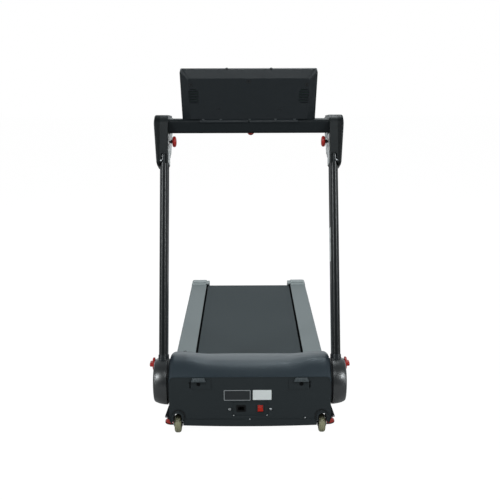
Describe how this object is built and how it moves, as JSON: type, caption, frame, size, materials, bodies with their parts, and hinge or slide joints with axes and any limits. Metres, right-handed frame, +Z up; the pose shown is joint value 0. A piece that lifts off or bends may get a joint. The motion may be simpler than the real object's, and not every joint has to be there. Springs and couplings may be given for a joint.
{
  "type": "folding motorised treadmill",
  "caption": "Folding motorised treadmill: running belt on a cushioned deck, hooded motor, leaning uprights on side pivots, tilting console on a crossbar, transport wheels.",
  "frame": {"origin": "on the floor, under the middle of the machine's length and width", "axes": "+Z up, +Y from the motor end towards the user's rear end of the belt, +X to the right as seen from the motor end"},
  "size_m": [0.688, 1.44, 1.2177],
  "materials": {
    "frame_paint": "black powder coat",
    "deck_board": "waxed fibreboard",
    "black_rubber": "moulded black rubber",
    "belt_rubber": "fine diamond texture",
    "bright_steel": "turned and zinc plated",
    "roller_steel": "turned steel",
    "motor_paint": "dark enamel",
    "flywheel_iron": "machined iron",
    "heat_sink": "extruded",
    "hood_plastic": "satin dark grey moulding",
    "panel_plastic": "fine spark texture",
    "rail_plastic": "grey grained",
    "cap_plastic": "grey grained",
    "socket_plastic": "black",
    "rocker_plastic": "red gloss",
    "wheel_urethane": "cast beige urethane",
    "foot_plastic": "red disc on a black ring",
    "upright_paint": "black satin powder coat",
    "cover_plastic": "satin black moulding",
    "collar_plastic": "glossy black moulding",
    "bracket_plastic": "fine grain",
    "liner_plastic": "pale silver grey",
    "grip_rubber": "ribbed soft rubber",
    "knob_plastic": "red moulding",
    "bar_paint": "dark satin coat",
    "console_plastic": "fine grain",
    "window_acrylic": "smoked window",
    "circuit_board": "green board",
    "key_red": "red",
    "key_green": "green",
    "key_grey": "grey"
  },
  "bodies": {
    "base": {"left_frame_rail": "frame_paint", "right_frame_rail": "frame_paint", "front_cross_member": "frame_paint", "middle_cross_member": "frame_paint", "rear_cross_member": "frame_paint", "left_side_plate": "frame_paint", "right_side_plate": "frame_paint", "running_deck": "deck_board", "deck_cushions": "black_rubber", "running_belt": "belt_rubber", "roller_shafts": "bright_steel", "roller_bearings": "bright_steel", "motor_body": "motor_paint", "drive_belt": "black_rubber", "motor_controller": "heat_sink", "hood_cover": "hood_plastic", "front_panel": "panel_plastic", "motor_pan": "panel_plastic", "left_foot_rail": "rail_plastic", "right_foot_rail": "rail_plastic", "end_caps": "cap_plastic", "inlet_plate": "panel_plastic", "power_inlet": "socket_plastic", "wheel_forks": "frame_paint", "side_feet": "foot_plastic", "rear_feet": "black_rubber", "pivot_bolts": "bright_steel"},
    "front_drum": {"front_roller": "roller_steel"},
    "rear_drum": {"rear_roller": "roller_steel"},
    "rotor": {"motor_rotor": "flywheel_iron"},
    "left_castor": {"left_wheel": "wheel_urethane"},
    "right_castor": {"right_wheel": "wheel_urethane"},
    "switch": {"power_rocker": "rocker_plastic"},
    "uprights": {"left_upright": "upright_paint", "right_upright": "upright_paint", "left_pivot_cover": "cover_plastic", "right_pivot_cover": "cover_plastic", "upright_collars": "collar_plastic", "left_bracket": "bracket_plastic", "right_bracket": "bracket_plastic", "left_bracket_cover": "cover_plastic", "right_bracket_cover": "cover_plastic", "bracket_liners": "liner_plastic", "left_hand_grip": "grip_rubber", "right_hand_grip": "grip_rubber"},
    "left_low_clamp": {"left_lower_knob": "knob_plastic"},
    "right_low_clamp": {"right_lower_knob": "knob_plastic"},
    "left_high_clamp": {"left_upper_knob": "knob_plastic"},
    "right_high_clamp": {"right_upper_knob": "knob_plastic"},
    "console": {"crossbar": "bar_paint", "console_back": "console_plastic", "console_front": "console_plastic", "display": "window_acrylic", "console_electronics": "circuit_board"},
    "magnet_key": {"safety_key": "key_red"},
    "start_button": {"start_key": "key_green"},
    "stop_button": {"stop_key": "key_red"},
    "faster_button": {"faster_key": "key_grey"},
    "slower_button": {"slower_key": "key_grey"}
  },
  "joints": [
    {"name": "upright_fold", "type": "hinge", "parent": "base", "child": "uprights", "pos_m": [0, -0.639, 0.168], "axis": [-1, 0, 0], "range_deg": [0, 68]},
    {"name": "console_fold", "type": "hinge", "parent": "uprights", "child": "console", "pos_m": [0, -0.36484, 1.01682], "axis": [-1, 0, 0], "range_deg": [0, 36]},
    {"name": "motor_spin", "type": "hinge", "parent": "base", "child": "rotor", "pos_m": [0, -0.56, 0.125], "axis": [1, 0, 0], "continuous": true},
    {"name": "front_roller_spin", "type": "hinge", "parent": "base", "child": "front_drum", "pos_m": [0, -0.44, 0.136], "axis": [1, 0, 0], "continuous": true},
    {"name": "rear_roller_spin", "type": "hinge", "parent": "base", "child": "rear_drum", "pos_m": [0, 0.656, 0.136], "axis": [1, 0, 0], "continuous": true},
    {"name": "left_wheel_spin", "type": "hinge", "parent": "base", "child": "left_castor", "pos_m": [-0.2456, -0.689, 0.031], "axis": [1, 0, 0], "continuous": true},
    {"name": "right_wheel_spin", "type": "hinge", "parent": "base", "child": "right_castor", "pos_m": [0.2456, -0.689, 0.031], "axis": [1, 0, 0], "continuous": true},
    {"name": "power_switch", "type": "hinge", "parent": "base", "child": "switch", "pos_m": [0.035, -0.706, 0.095], "axis": [1, 0, 0], "range_deg": [0, 14]},
    {"name": "left_low_clamp_turn", "type": "hinge", "parent": "uprights", "child": "left_low_clamp", "pos_m": [0, -0.62148, 0.22224], "axis": [-1, 0, 0], "range_deg": [0, 360]},
    {"name": "right_low_clamp_turn", "type": "hinge", "parent": "uprights", "child": "right_low_clamp", "pos_m": [0, -0.62148, 0.22224], "axis": [1, 0, 0], "range_deg": [0, 360]},
    {"name": "left_high_clamp_turn", "type": "hinge", "parent": "uprights", "child": "left_high_clamp", "pos_m": [0, -0.38236, 0.96258], "axis": [1, 0, 0], "range_deg": [0, 360]},
    {"name": "right_high_clamp_turn", "type": "hinge", "parent": "uprights", "child": "right_high_clamp", "pos_m": [0, -0.38236, 0.96258], "axis": [-1, 0, 0], "range_deg": [0, 360]},
    {"name": "safety_key_pull", "type": "slide", "parent": "console", "child": "magnet_key", "axis": [0, 1, 0], "range_m": [0, 0.018]},
    {"name": "start_press", "type": "slide", "parent": "console", "child": "start_button", "axis": [0, -0.9455, -0.3256], "range_m": [0, 0.0015], "stiffness_N_per_m": 500, "springref_m": -0.0005},
    {"name": "stop_press", "type": "slide", "parent": "console", "child": "stop_button", "axis": [0, -0.9455, -0.3256], "range_m": [0, 0.0015], "stiffness_N_per_m": 500, "springref_m": -0.0005},
    {"name": "faster_press", "type": "slide", "parent": "console", "child": "faster_button", "axis": [0, -0.9455, -0.3256], "range_m": [0, 0.0015], "stiffness_N_per_m": 500, "springref_m": -0.0005},
    {"name": "slower_press", "type": "slide", "parent": "console", "child": "slower_button", "axis": [0, -0.9455, -0.3256], "range_m": [0, 0.0015], "stiffness_N_per_m": 500, "springref_m": -0.0005}
  ],
  "couplings": [
    {"joint": "front_roller_spin", "follows": "motor_spin", "ratio": 0.47368},
    {"joint": "rear_roller_spin", "follows": "motor_spin", "ratio": 0.47368}
  ]
}
